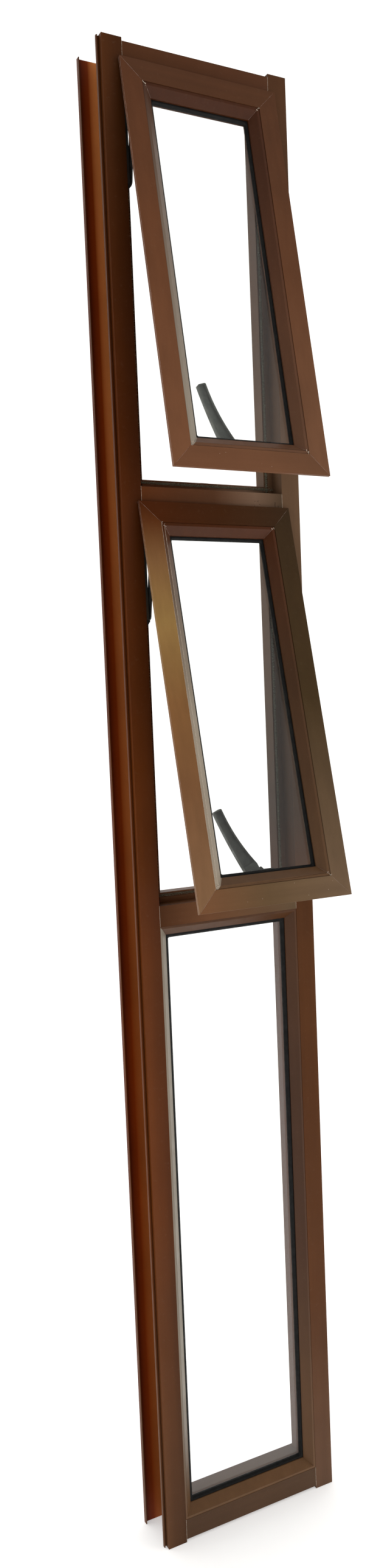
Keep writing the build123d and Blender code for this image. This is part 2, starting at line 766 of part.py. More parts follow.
for level, sash in sashes.items():
    plane = sash_plane(sash)
    sides = rectangle_sides(plane, sash_width, sash_height)
    for side, part_name in (
        ("top", "top_rail"), ("bottom", "bottom_rail"), ("left", "left_stile"), ("right", "right_stile")
    ):
        save(mitred_bar(sides[side], sash_outline), f"{level}_sash_{part_name}")

    bars = [
        mitred_bar(side, lambda: bead_outline(**sash_bead))
        for side in sides.values()
    ]
    save(Compound(children=bars), f"{level}_sash_beads")

    outer = ring(plane, *sash_size, 44, 55.7, sash_bead["back"], glass_front, gasket_corner)
    save(bevel_ring(outer, plane, sash_bead["back"], gasket_rise), f"{level}_sash_outer_gasket")
    inner = ring(plane, *sash_size, 40, leg_end + 1.5, glass_back, sash_depth - 4, gasket_corner)
    save(inner, f"{level}_sash_inner_gasket")

    with BuildPart() as glass:
        pane_middle = on_sash(plane, sash_width / 2, sash_height / 2, glass_front)
        with BuildSketch(Plane(origin=pane_middle, x_dir=plane.x_dir, z_dir=plane.z_dir)):
            Rectangle(sash_width - 2 * glass_offset, sash_height - 2 * glass_offset)
        extrude(amount=-glass_thick)
    save(glass.part, f"{level}_sash_glass")

    block_thick = glass_offset - pocket_at - block_gap - 0.1
    blocks = block_row(
        plane, *sash_size, glass_offset, block_thick, glass_front, glass_back, block_length
    )
    save(blocks, f"{level}_sash_glazing_blocks")

    with BuildPart() as cleats:
        for corner_u, way_u in ((0, 1), (sash_width, -1)):
            for corner_down, way_down in ((0, 1), (sash_height, -1)):
                corner_cleat(plane, corner_u, corner_down, way_u, way_down)
    save(cleats.part, f"{level}_sash_corner_cleats")

    bar_length = stay_bar_span[1] - stay_bar_span[0]
    bar_width = stay_bar_depths[1] - stay_bar_depths[0]
    bar_middle = (sum(stay_bar_span) / 2, sum(stay_bar_depths) / 2)
    with BuildPart() as stay_bars:
        for hand in hands.values():
            face_u = sash_width / 2 + hand * (sash_width / 2 - body_offset)
            middle = on_sash(plane, face_u, *bar_middle)
            place = Plane(origin=middle, x_dir=plane.y_dir, z_dir=(hand, 0, 0))
            with BuildSketch(place):
                RectangleRounded(bar_length, bar_width, 3)
            extrude(amount=bar_thick)
            for down in bar_screw_drops:
                at = on_sash(plane, face_u + hand * bar_thick, down, bar_middle[1])
                seat = Plane(origin=at, x_dir=plane.y_dir, z_dir=(hand, 0, 0))
                sunk_hole(seat, 3.4, 1.6, 1.8, 2 * bar_thick)
    save(stay_bars.part, f"{level}_stay_bars")

    with BuildPart() as rivets:
        for hand in hands.values():
            face_u = sash_width / 2 + hand * (sash_width / 2 - body_offset)
            for down, depth in (arm_pivot, link_pivot):
                at = on_sash(plane, face_u + hand * bar_thick, down, depth)
                seat = Plane(origin=at, x_dir=plane.y_dir, z_dir=(hand, 0, 0))
                gap = rebate - abs(at.X) - arm_level - arm_thick
                head_seat = seat.offset(gap + arm_thick + rivet["slack"])
                extrude(disc(seat, rivet["collar"]), amount=gap - rivet["slack"])
                extrude(disc(seat, rivet["shank"]), amount=gap + arm_thick + rivet["slack"])
                extrude(disc(head_seat, rivet["head"]), amount=rivet["head_height"], taper=20)
    save(rivets.part, f"{level}_stay_rivets")

    with BuildPart() as sash_screws:
        for hand in hands.values():
            face_u = sash_width / 2 + hand * (sash_width / 2 - body_offset + bar_thick - 0.05)
            for down in bar_screw_drops:
                at = on_sash(plane, face_u, down, bar_middle[1])
                flush_screw(Plane(origin=at, x_dir=plane.y_dir, z_dir=(hand, 0, 0)), 3.3, 1.55, 1.7, 0.5)
        for seat in base_screw_seats(plane):
            pan_screw(seat, 3.4, 2.0, base_screw[2], base_thick - 0.1)
    save(sash_screws.part, f"{level}_sash_screws")

    save(handle_base(plane), f"{level}_handle_base")

    with BuildPart() as pin:
        start = on_sash(plane, sash_width / 2, handle_down, sash_depth + 0.5)
        place = Plane(origin=start, x_dir=plane.x_dir, z_dir=-plane.z_dir)
        reach = lever_front + lever_thick + 0.3 - sash_depth - 0.5
        with BuildSketch(place):
            Circle(pin_radius)
        extrude(amount=reach)
        with BuildSketch(place.offset(reach)):
            Circle(6.5)
        extrude(amount=1.6, taper=25)
    save(pin.part, f"{level}_handle_pin")

    save(lever_part(plane, sash["lever"]), f"{level}_lever")

    for name, hand in hands.items():
        u = sash_width / 2 + hand * sash_width / 2
        arm = on_sash(plane, u, *arm_pivot)
        link = on_sash(plane, u, *link_pivot)
        save(stay_strip(hand, arm, arm_length, arm_width), f"{level}_{name}_stay_arm")
        save(stay_strip(hand, link, link_length, link_width), f"{level}_{name}_stay_link")
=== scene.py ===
import bpy
import bmesh
import json
import math
import random
from mathutils import Matrix, Vector, noise


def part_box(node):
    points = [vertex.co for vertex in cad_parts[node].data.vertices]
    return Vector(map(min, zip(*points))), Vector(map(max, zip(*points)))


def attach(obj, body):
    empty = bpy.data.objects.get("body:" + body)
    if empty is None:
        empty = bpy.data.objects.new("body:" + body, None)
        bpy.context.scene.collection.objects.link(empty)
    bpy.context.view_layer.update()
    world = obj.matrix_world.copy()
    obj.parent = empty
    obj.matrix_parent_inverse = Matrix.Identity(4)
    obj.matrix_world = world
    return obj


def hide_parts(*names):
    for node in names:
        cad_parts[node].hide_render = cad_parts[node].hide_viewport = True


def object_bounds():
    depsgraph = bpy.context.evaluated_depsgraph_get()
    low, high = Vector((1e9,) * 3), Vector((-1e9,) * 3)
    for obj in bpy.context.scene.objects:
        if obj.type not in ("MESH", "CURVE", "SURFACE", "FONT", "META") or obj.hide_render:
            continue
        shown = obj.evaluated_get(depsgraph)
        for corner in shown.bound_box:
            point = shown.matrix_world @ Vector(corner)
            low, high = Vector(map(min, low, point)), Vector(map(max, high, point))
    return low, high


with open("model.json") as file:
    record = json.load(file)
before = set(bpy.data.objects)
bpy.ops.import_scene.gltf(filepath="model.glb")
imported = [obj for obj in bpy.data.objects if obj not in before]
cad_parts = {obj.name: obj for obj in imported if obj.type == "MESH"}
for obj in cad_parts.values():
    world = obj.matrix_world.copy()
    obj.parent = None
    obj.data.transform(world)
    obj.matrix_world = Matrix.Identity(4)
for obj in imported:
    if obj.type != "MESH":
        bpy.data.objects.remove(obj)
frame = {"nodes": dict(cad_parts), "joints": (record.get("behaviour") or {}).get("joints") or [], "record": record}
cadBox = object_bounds()
nodes = frame["nodes"]
joints = {joint["name"]: joint for joint in frame["joints"]}
mm = 0.001
print("frame loaded with", len(nodes), "nodes")


# ---------- camera, light and floor

view = {
    "place": (-0.9075, -1.6083, 1.3724),
    "heading": 26.04,     # degrees from +Y towards +X
    "pitch": -4.151,
    "roll": -2.532,
    "lens": 25.42,
    "sensor": 36.0,
    "shift": (0.0275, 0.0073),
}


def makeCamera(look):
    heading, pitch, roll = (math.radians(look[key]) for key in ("heading", "pitch", "roll"))
    level = math.cos(pitch)
    ahead = Vector((math.sin(heading) * level, math.cos(heading) * level, math.sin(pitch)))
    right = Vector((math.cos(heading), -math.sin(heading), 0))
    up = right.cross(ahead)
    camX = right * math.cos(roll) + up * math.sin(roll)
    camY = up * math.cos(roll) - right * math.sin(roll)
    data = bpy.data.cameras.new("camera")
    data.sensor_fit = "VERTICAL"
    data.sensor_height = look["sensor"]
    data.lens = look["lens"]
    data.shift_x, data.shift_y = look["shift"]
    data.clip_start = 0.05
    camera = bpy.data.objects.new("camera", data)
    turn = Matrix((camX, camY, -ahead)).transposed()
    camera.matrix_world = Matrix.Translation(look["place"]) @ turn.to_4x4()
    bpy.context.scene.collection.objects.link(camera)
    bpy.context.scene.camera = camera


studio = {
    "front": 0.42,        # brightness of the surroundings on the outside
    "back": 1.25,         # and behind the window
    "blend": 0.35,        # how softly one passes into the other
    "tint": (1.0, 0.985, 0.96),
    "floorSize": 40.0,
    "floorColour": (0.93, 0.93, 0.93),
    "floorGlow": 0.42,
    "floorRough": 0.7,
    "lamps": [            # place, aimed at, size, watts, colour
        ((2.4, -1.9, 2.3), (0, 0, 1.2), 2.2, 30, (1.0, 0.97, 0.93)),
        ((-1.6, -2.8, 0.9), (0, 0, 0.7), 1.6, 6, (1.0, 0.96, 0.92)),
    ],
}


def newMaterial(name):
    material = bpy.data.materials.new(name)
    material.use_nodes = True
    tree = material.node_tree
    return material, tree, tree.nodes["Principled BSDF"]


def makeStudio(look):
    scene = bpy.context.scene
    scene.view_settings.view_transform = "Standard"
    world = bpy.data.worlds.new("studio")
    scene.world = world
    world.use_nodes = True
    tree = world.node_tree
    ground = tree.nodes["Background"]
    where = tree.nodes.new("ShaderNodeTexCoord")
    split = tree.nodes.new("ShaderNodeSeparateXYZ")
    fade = tree.nodes.new("ShaderNodeMapRange")
    fade.interpolation_type = "SMOOTHSTEP"
    fade.inputs["From Min"].default_value = -look["blend"]
    fade.inputs["From Max"].default_value = look["blend"]
    fade.inputs["To Min"].default_value = look["front"]
    fade.inputs["To Max"].default_value = look["back"]
    tree.links.new(where.outputs["Generated"], split.inputs[0])
    tree.links.new(split.outputs["Y"], fade.inputs["Value"])
    tree.links.new(fade.outputs["Result"], ground.inputs["Strength"])
    ground.inputs["Color"].default_value = (*look["tint"], 1)
    for number, (place, target, size, watts, colour) in enumerate(look["lamps"]):
        data = bpy.data.lights.new(f"softbox{number}", "AREA")
        data.shape = "DISK"
        data.size = size
        data.energy = watts
        data.color = colour
        lamp = bpy.data.objects.new(f"softbox{number}", data)
        aim = (Vector(target) - Vector(place)).to_track_quat("-Z", "Y")
        lamp.visible_glossy = False      # no lamp discs in the panes
        lamp.visible_transmission = False
        lamp.matrix_world = Matrix.Translation(place) @ aim.to_matrix().to_4x4()
        scene.collection.objects.link(lamp)
    half = look["floorSize"] / 2
    low = cadBox[0][2]
    mesh = bpy.data.meshes.new("floor")
    corners = [(-half, -half, low), (half, -half, low), (half, half, low), (-half, half, low)]
    mesh.from_pydata(corners, [], [(0, 1, 2, 3)])
    floor = bpy.data.objects.new("floor", mesh)
    scene.collection.objects.link(floor)
    material, tree, shader = newMaterial("floorPaint")
    shader.inputs["Base Color"].default_value = (*look["floorColour"], 1)
    shader.inputs["Roughness"].default_value = look["floorRough"]
    shader.inputs["Emission Color"].default_value = (1, 1, 1, 1)
    shader.inputs["Emission Strength"].default_value = look["floorGlow"]
    mesh.materials.append(material)


makeCamera(view)
makeStudio(studio)
print("camera and studio ready")


# ---------- shader helpers

def coords(tree, scale):
    where = tree.nodes.new("ShaderNodeTexCoord")
    mapping = tree.nodes.new("ShaderNodeMapping")
    mapping.inputs["Scale"].default_value = scale
    tree.links.new(where.outputs["Object"], mapping.inputs["Vector"])
    return mapping.outputs["Vector"]


def noiseField(tree, scale, detail=3.0, rough=0.55, stretch=(1, 1, 1)):
    field = tree.nodes.new("ShaderNodeTexNoise")
    field.inputs["Scale"].default_value = scale
    field.inputs["Detail"].default_value = detail
    field.inputs["Roughness"].default_value = rough
    tree.links.new(coords(tree, stretch), field.inputs["Vector"])
    return field.outputs["Fac"]


def remap(tree, value, low, high, toLow, toHigh):
    ranger = tree.nodes.new("ShaderNodeMapRange")
    ranger.inputs["From Min"].default_value = low
    ranger.inputs["From Max"].default_value = high
    ranger.inputs["To Min"].default_value = toLow
    ranger.inputs["To Max"].default_value = toHigh
    tree.links.new(value, ranger.inputs["Value"])
    return ranger.outputs["Result"]


def mixColour(tree, factor, first, second, blend="MIX"):
    mixer = tree.nodes.new("ShaderNodeMix")
    mixer.data_type = "RGBA"
    mixer.blend_type = blend
    if isinstance(factor, float):
        mixer.inputs[0].default_value = factor
    else:
        tree.links.new(factor, mixer.inputs[0])
    for socket, colour in ((mixer.inputs[6], first), (mixer.inputs[7], second)):
        if isinstance(colour, tuple):
            socket.default_value = (*colour, 1)
        else:
            tree.links.new(colour, socket)
    return mixer.outputs[2]


def addBump(tree, shader, heights):
    last = None
    for height, distance in heights:   # each bump feeds the next one's normal
        bump = tree.nodes.new("ShaderNodeBump")
        bump.inputs["Strength"].default_value = 1.0
        bump.inputs["Distance"].default_value = distance
        tree.links.new(height, bump.inputs["Height"])
        if last is not None:
            tree.links.new(last, bump.inputs["Normal"])
        last = bump.outputs["Normal"]
    tree.links.new(last, shader.inputs["Normal"])


# ---------- finishes

def linear(tone, lift=1.0):
    light = []
    for channel in tone:
        step = channel / 255
        light.append(lift * (step / 12.92 if step <= 0.04045 else ((step + 0.055) / 1.055) ** 2.4))
    return tuple(light)


def toneRamp(tree, value, stops, lift):
    ramp = tree.nodes.new("ShaderNodeValToRGB")
    elements = ramp.color_ramp.elements
    elements[0].position, elements[-1].position = stops[0][0], stops[-1][0]
    while len(elements) < len(stops):
        elements.new(0.5)
    for element, (place, tone) in zip(elements, stops):
        element.position = place
        element.color = (*linear(tone, lift), 1)
    tree.links.new(value, ramp.inputs["Fac"])
    return ramp.outputs["Color"]


def combine(tree, operation, first, second):
    sums = tree.nodes.new("ShaderNodeMath")
    sums.operation = operation
    tree.links.new(first, sums.inputs[0])
    tree.links.new(second, sums.inputs[1])
    return sums.outputs[0]


def alongBar(along, squeeze):
    return (1, 1, squeeze) if along == "Z" else (squeeze, 1, 1)


def scaleTone(tree, tone, *values):
    total = values[0]
    for value in values[1:]:
        total = combine(tree, "MULTIPLY", total, value)
    grey = tree.nodes.new("ShaderNodeCombineColor")
    for channel in range(3):
        tree.links.new(total, grey.inputs[channel])
    return mixColour(tree, 1.0, tone, grey.outputs[0], "MULTIPLY")


bronze = {
    "lift": 1.0,           # paint tone over the tone it shows in this light
    "patch": 6.0,          # broad tone change, per metre
    "patchDepth": 0.10,
    "streak": 70.0,        # fine lines along the bar
    "streakDepth": 0.07,
    "stretch": 0.03,
    "dust": (150, 130, 112),
    "dustScale": 160.0,
    "dustAmount": 0.10,
    "rough": (0.38, 0.52),
    "roughScale": 30.0,
    "specular": 0.1,
    "orangePeel": 1100.0,
    "peelHeight": 0.000025,
    "lines": 700.0,        # drawing lines from the die
    "lineStretch": 0.004,
    "lineHeight": 0.00002,
    "glossRough": 0.3,     # of the coat on the beads
}


def bronzeFinish(name, stops, axis, low, high, along="Z", paintedLightPatches=(), coat=0.0, shade=None):
    material, tree, shader = newMaterial(name)
    where = tree.nodes.new("ShaderNodeTexCoord")
    split = tree.nodes.new("ShaderNodeSeparateXYZ")
    tree.links.new(where.outputs["Object"], split.inputs[0])
    places = {way: split.outputs[way] for way in "XYZ"}
    for cut, operation in (("rising", "ADD"), ("falling", "SUBTRACT")):    # 45 degree cuts across a corner
        places[cut] = combine(tree, operation, split.outputs["Z"], split.outputs["X"])
    tone = toneRamp(tree, remap(tree, split.outputs[axis], low, high, 0.0, 1.0), stops, bronze["lift"])
    for paintedLightPatch in paintedLightPatches:     # painted light and shade: a paler or warmer tone on one part of the bar
        spread = [remap(tree, places[way], *reach, 0.0, 1.0) for way, reach in paintedLightPatch["limits"]]
        edge = spread[0]
        for other in spread[1:]:
            edge = combine(tree, "MULTIPLY", edge, other)
        tone = mixColour(tree, edge, tone, linear(paintedLightPatch["tone"], paintedLightPatch["lift"]))
    stretch = alongBar(along, bronze["stretch"])
    broad, fine = bronze["patchDepth"], bronze["streakDepth"]
    patches = remap(tree, noiseField(tree, bronze["patch"], 4), 0.3, 0.7, 1 - broad, 1 + broad)
    streaks = remap(tree, noiseField(tree, bronze["streak"], 4, 0.6, stretch), 0.3, 0.7, 1 - fine, 1 + fine)
    factors = [patches, streaks]
    # painted shade: the tone is scaled across the bar along x
    if shade:
        factors.append(remap(tree, split.outputs["X"], *shade))
    tone = scaleTone(tree, tone, *factors)
    dust = remap(tree, noiseField(tree, bronze["dustScale"], 6, 0.7), 0.58, 0.85, 0.0, bronze["dustAmount"])
    tone = mixColour(tree, dust, tone, linear(bronze["dust"]))
    tree.links.new(tone, shader.inputs["Base Color"])
    rough = remap(tree, noiseField(tree, bronze["roughScale"], 4), 0.3, 0.7, *bronze["rough"])
    tree.links.new(rough, shader.inputs["Roughness"])
    shader.inputs["Specular IOR Level"].default_value = bronze["specular"]
    shader.inputs["Coat Weight"].default_value = coat
    shader.inputs["Coat Roughness"].default_value = bronze["glossRough"]
    peel = noiseField(tree, bronze["orangePeel"], 2)
    lines = noiseField(tree, bronze["lines"], 2, 0.5, alongBar(along, bronze["lineStretch"]))
    addBump(tree, shader, [(peel, bronze["peelHeight"]), (lines, bronze["lineHeight"])])
    return material


def plainFinish(name, first, second, scale, rough, metallic=0.0, bump=0.00002, bumpScale=600.0,
                stretch=(1, 1, 1), specular=0.5):
    material, tree, shader = newMaterial(name)
    mottle = remap(tree, noiseField(tree, scale, 5, 0.6, stretch), 0.32, 0.68, 0.0, 1.0)
    tree.links.new(mixColour(tree, mottle, linear(first), linear(second)), shader.inputs["Base Color"])
    wear = remap(tree, noiseField(tree, scale * 1.7, 4), 0.3, 0.7, *rough)
    tree.links.new(wear, shader.inputs["Roughness"])
    shader.inputs["Metallic"].default_value = metallic
    shader.inputs["Specular IOR Level"].default_value = specular
    addBump(tree, shader, [(noiseField(tree, bumpScale, 3, 0.6, stretch), bump)])
    return material


def glassFinish():
    material, tree, shader = newMaterial("clearGlass")
    shader.inputs["Base Color"].default_value = (0.975, 0.99, 0.985, 1)
    shader.inputs["Transmission Weight"].default_value = 1.0
    shader.inputs["IOR"].default_value = 1.5
    shader.inputs["Specular IOR Level"].default_value = 0.25
    haze = remap(tree, noiseField(tree, 18.0, 5), 0.5, 0.8, 0.0, 0.02)   # faint smears
    tree.links.new(haze, shader.inputs["Roughness"])
    return material


rubber = plainFinish("gasketRubber", (14, 14, 14), (26, 26, 25), 90.0, (0.45, 0.65), bump=0.00004, specular=0.15)
pileCloth = plainFinish("pileFibre", (118, 122, 104), (172, 174, 154), 420.0, (0.8, 0.95), bumpScale=2500.0)
# the stay steel is painted dark: painted shade for the stays in the wedge between jamb and sash
stayInPaintedShade = plainFinish("stainlessStripPaintedDark", (44, 44, 42), (72, 72, 69), 60.0, (0.38, 0.55), 0.7,
                        0.000012, 500.0, (1, 1, 0.05))
zincPlate = plainFinish("zincPlatedSteel", (186, 186, 180), (150, 147, 138), 300.0, (0.3, 0.5), 1.0)
millAluminium = plainFinish("millAluminium", (205, 205, 205), (182, 182, 184), 120.0, (0.3, 0.5), 1.0)
bareMetal = plainFinish("bareCutMetal", (238, 226, 210), (176, 150, 128), 700.0, (0.35, 0.55))
# light metal tone for the sash mitre cuts, and for the painted highlights on the sash side edges
cutLineAndEdgeHighlight = plainFinish("cutLineAndEdgeHighlightPaint", (198, 176, 166), (128, 98, 84), 500.0, (0.35, 0.55))
darkScratch = plainFinish("darkScratch", (30, 16, 10), (44, 28, 20), 500.0, (0.5, 0.7), specular=0.1)
nylon = plainFinish("blackNylon", (16, 16, 16), (30, 30, 30), 150.0, (0.45, 0.6), specular=0.2)
castZinc = plainFinish("wornCastZinc", (92, 98, 92), (116, 120, 112), 70.0, (0.36, 0.55), 0.25, 0.00005, 380.0)
darkCast = plainFinish("darkCastZinc", (58, 58, 50), (92, 96, 90), 45.0, (0.36, 0.55), 0.25, 0.00005, 380.0)
clearGlass = glassFinish()

# painted light and shade: the tones seen along each bar, from the foot of an upright, or the left end of a
# crosspiece, to its other end
litAndShadedTones = {
    "left_jamb": [(0, (86, 56, 34)), (0.25, (92, 46, 14)), (0.5, (88, 43, 12)), (0.75, (72, 32, 6)),
                  (1, (72, 38, 14))],
    "right_jamb": [(0, (98, 71, 53)), (0.14, (86, 50, 24)), (0.3, (84, 46, 16)), (0.44, (78, 44, 18)),
                   (0.5, (68, 50, 37)), (0.7, (98, 74, 54)), (1, (78, 49, 30))],
    "head_rail": [(0, (76, 44, 24)), (1, (82, 50, 32))],
    "upper_transom": [(0, (88, 46, 20)), (0.5, (88, 56, 36)), (0.8, (115, 90, 72)), (1, (79, 61, 44))],
    "lower_transom": [(0, (71, 38, 13)), (0.35, (108, 70, 44)), (1, (94, 75, 54))],
    "sill_rail": [(0, (82, 58, 40)), (1, (82, 60, 43))],
    "fixed_beads": [(0, (104, 74, 48)), (0.4, (74, 46, 28)), (1, (78, 48, 26))],
    "upper_sash_top_rail": [(0, (82, 50, 31)), (1, (82, 50, 30))],
    "upper_sash_left_stile": [(0, (118, 78, 53)), (0.5, (104, 64, 40)), (1, (88, 52, 31))],
    "upper_sash_right_stile": [(0, (115, 79, 56)), (0.5, (96, 60, 38)), (1, (81, 49, 30))],
    "upper_sash_bottom_rail": [(0, (109, 71, 48)), (1, (106, 72, 50))],
    "upper_sash_beads": [(0, (98, 66, 46)), (0.6, (78, 46, 28)), (1, (64, 30, 8))],
    "lower_sash_top_rail": [(0, (76, 35, 11)), (1, (56, 37, 19))],
    "lower_sash_left_stile": [(0, (126, 94, 66)), (0.12, (124, 90, 62)), (0.3, (119, 82, 52)),
                              (0.5, (125, 87, 51)), (0.7, (146, 114, 66)), (0.85, (124, 88, 54)),
                              (0.95, (92, 50, 22)), (1, (76, 35, 10))],
    "lower_sash_right_stile": [(0, (111, 89, 68)), (0.5, (66, 49, 27)), (1, (57, 40, 22))],
    "lower_sash_bottom_rail": [(0, (115, 77, 50)), (0.45, (98, 76, 52)), (1, (112, 90, 69))],
    "lower_sash_beads": [(0, (90, 64, 42)), (0.6, (70, 44, 24)), (1, (72, 36, 14))],
}
upright = ("jamb", "stile", "beads")
jambShade = (-0.164, -0.132, 1.18, 0.74)      # painted shade of the sashes on the left jamb's face: from x, to x, and the tone's share at each
flangeSkin = [("Y", (0.0355, 0.0365)), ("Y", (0.0382, 0.0378))]      # its front skin only
# painted shade and painted warm reflected light on the flange's front skin, in bands across it
flangePaintedLightAndShade = [
    {"limits": flangeSkin + [("X", (-0.132, -0.134))], "tone": (58, 15, 1), "lift": 2.0},
    {"limits": flangeSkin + [("X", (-0.166, -0.150))], "tone": (90, 32, 3), "lift": 2.2},
    {"limits": flangeSkin + [("X", (-0.154, -0.136))], "tone": (130, 72, 32), "lift": 2.4},
    {"limits": flangeSkin + [("X", (-0.154, -0.136)), ("Z", (0.8, 2.3))], "tone": (160, 98, 52), "lift": 2.4},
]
beadCoat = 0.2
beadPaintedReflections = {                   # painted reflection of the sky on the left bars
    "upper": {"X": (-0.084, -0.086), "Z": (2.35, 1.80), "tone": (146, 136, 122)},
    "lower": {"X": (-0.084, -0.086), "Z": (1.66, 1.35), "tone": (152, 140, 124)},
    "fixed": {"X": (-0.112, -0.114), "Z": (0.05, 0.25), "tone": (136, 126, 112)},
}


def paintBar(name):
    low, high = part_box(name)
    stands = name.endswith(upright)
    axis, reach = ("Z", (low[2], high[2])) if stands else ("X", (low[0], high[0]))
    extra = {}
    if name == "left_jamb":        # the flange gets painted warm reflected light and painted shade, and the face painted shade darkening towards the vents
        extra = {"paintedLightPatches": flangePaintedLightAndShade, "shade": jambShade}
    if name.endswith("beads"):
        paintedLightPatch = beadPaintedReflections[name.split("_")[0]]
        top, foot = high[2] + low[0], low[2] - low[0]
        limits = [("X", paintedLightPatch["X"]), ("Z", paintedLightPatch["Z"])]
        limits += [("rising", (top, top - mm)), ("falling", (foot, foot + mm))]
        extra = {"coat": beadCoat, "paintedLightPatches": [{"limits": limits, "tone": paintedLightPatch["tone"], "lift": 1.0}]}
    return bronzeFinish(name + "Paint", litAndShadedTones[name], axis, *reach, along="Z" if stands else "X", **extra)


for name, node in nodes.items():
    if name in litAndShadedTones:
        material = paintBar(name)
    elif "glass" in name:
        material = clearGlass
    elif "gasket" in name:
        material = rubber
    elif "pile" in name:
        material = pileCloth
    elif name.endswith("lever") or "handle_base" in name:
        material = castZinc if name.startswith("upper") else darkCast
    elif "keepers" in name:
        material = castZinc
    elif "pin" in name or "screws" in name or "rivets" in name:
        material = zincPlate
    elif "stay" in name:
        material = stayInPaintedShade
    elif "cleats" in name:
        material = millAluminium
    else:
        material = nylon
    node.data.materials.clear()
    node.data.materials.append(material)
print("finishes on every node")


# ---------- meshes for new pieces

def newPiece(name, mesh, body, material):
    piece = bpy.data.objects.new(name, mesh)
    bpy.context.scene.collection.objects.link(piece)
    if not mesh.materials:
        mesh.materials.append(material)
    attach(piece, body)
    return piece


def meshFrom(name, work):
    mesh = bpy.data.meshes.new(name)
    work.to_mesh(mesh)
    work.free()
    return mesh


record = frame["record"]
bodyOf = {member: body for body, members in record["behaviour"]["bodies"].items() for member in members}
slotOf = {entry["node"]: entry["material_slot"] for entry in record["subparts"]}
rounding = {
    "bar": 0.35 * mm,
    "casting": 0.7 * mm,
    "segments": 2,
    "weld": 0.005 * mm,
    "angle": 35.0,        # sharper edges than this are rounded
    "crease": 12.0,       # and these stay crisp on the bars
}


def softenEdges(name, width):
    source = nodes[name]
    work = bmesh.new()
    work.from_mesh(source.data)
    bmesh.ops.remove_doubles(work, verts=work.verts, dist=rounding["weld"])
    bmesh.ops.dissolve_limit(work, angle_limit=math.radians(1.0), verts=work.verts, edges=work.edges)
    bmesh.ops.recalc_face_normals(work, faces=work.faces)
    mesh = meshFrom(name + "_finished", work)
    mesh.shade_smooth()
    if slotOf[name] == "bronze_coat":
        mesh.set_sharp_from_angle(angle=math.radians(rounding["crease"]))    # bars stay flat between their edges
    piece = newPiece(name + "_finished", mesh, bodyOf[name], source.data.materials[0])
    bevel = piece.modifiers.new("edges", "BEVEL")
    bevel.width = width
    bevel.segments = rounding["segments"]
    bevel.limit_method = "ANGLE"
    bevel.angle_limit = math.radians(rounding["angle"])
    bevel.harden_normals = True
    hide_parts(name)


bars = [name for name in nodes if slotOf[name] == "bronze_coat"]
castings = [name for name in nodes if slotOf[name] == "handle_zinc"]
for name in bars:
    softenEdges(name, rounding["bar"])
for name in castings:
    softenEdges(name, rounding["casting"])
print("edges rounded on", len(bars), "bars and", len(castings), "castings")


def wanderingBead(work, start, end, facing, width, height, steps, seed, fade=0.0):
    """flat-bottomed sliver with an uneven width, lying on a face"""
    along = (end - start).normalized()
    side = along.cross(facing).normalized()
    rings = []
    for step in range(steps + 1):
        part = step / steps
        swell = 0.55 + 0.9 * abs(noise.noise(Vector((seed, part * steps * 0.37, 0.5))))
        taper = min(1.0, (part + 0.02) / max(fade, 0.02), (1.02 - part) / max(fade, 0.02))
        half = width * swell * taper / 2
        sway = 0.3 * width * noise.noise(Vector((seed + 9, part * steps * 0.21, 0.5)))
        centre = start.lerp(end, part) + side * sway
        rings.append([work.verts.new(centre + side * across + facing * rise) for across, rise in
                      ((-half, -0.2 * mm), (-0.6 * half, height), (0.6 * half, height), (half, -0.2 * mm))])
    for first, second in zip(rings, rings[1:]):
        for corner in range(4):
            nextCorner = (corner + 1) % 4
            work.faces.new((first[corner], second[corner], second[nextCorner], first[nextCorner]))
    work.faces.new(rings[0])
    work.faces.new(rings[-1][::-1])
    bmesh.ops.recalc_face_normals(work, faces=work.faces)


# ---------- bare metal at the cut ends of the crosspieces

joins = {"width": 0.55 * mm, "proud": 0.06 * mm, "steps": 40}
stopHeight = 16.7 * mm
out = Vector((0, -1, 0))


def crosspieceJoins():
    work = bmesh.new()
    stops = {"head_rail": (1, 0), "upper_transom": (1, 1), "lower_transom": (1, 1), "sill_rail": (0, 1)}
    for seed, (name, (below, above)) in enumerate(stops.items()):
        low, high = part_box(name)
        face = low[1]
        foot, top = low[2] + below * stopHeight, high[2] - above * stopHeight
        for x in (low[0], high[0]):
            wanderingBead(work, Vector((x, face, foot)), Vector((x, face, top)), out, joins["width"],
                          joins["proud"], joins["steps"], seed * 2.3 + x)
    newPiece("crosspiece_cut_edges", meshFrom("crosspieceCutEdges", work), "frame", bareMetal)


crosspieceJoins()


# ---------- sash corners, edges and beads

sashDetail = {
    "height": 644 * mm,
    "behind": 2 * mm,         # hinge axis behind the face
    "above": 3 * mm,          # and above the top edge
    "proud": 0.04 * mm,
    "mitre": {"start": 1 * mm, "end": 32.5 * mm, "width": 0.28 * mm, "steps": 26, "fade": 0.3},
    "beadMitre": {"start": (39 * mm, 1.0 * mm), "end": (50.5 * mm, 11.0 * mm), "width": 0.24 * mm,
                  "proud": 0.3 * mm, "steps": 10},
    # painted highlights along each sash's side edges
    "edge": {"width": 0.7 * mm, "depths": (0.6 * mm, 4.2 * mm), "steps": 160},
    "burrs": {"count": 9, "insets": (33.5, 39.5), "depth": 0.4 * mm, "lengths": (1.2, 3.4),
              "widths": (0.3, 0.8), "heights": (0.2, 0.7), "steps": 5, "fade": 0.5},
}
beadRib = {
    "insets": ((33.9 * mm, 0.7 * mm), (38.4 * mm, 0.75 * mm)),     # from the sash's edge, and behind its face
    "width": 0.5 * mm,
    "proud": 0.12 * mm,
    "steps": 150,
}


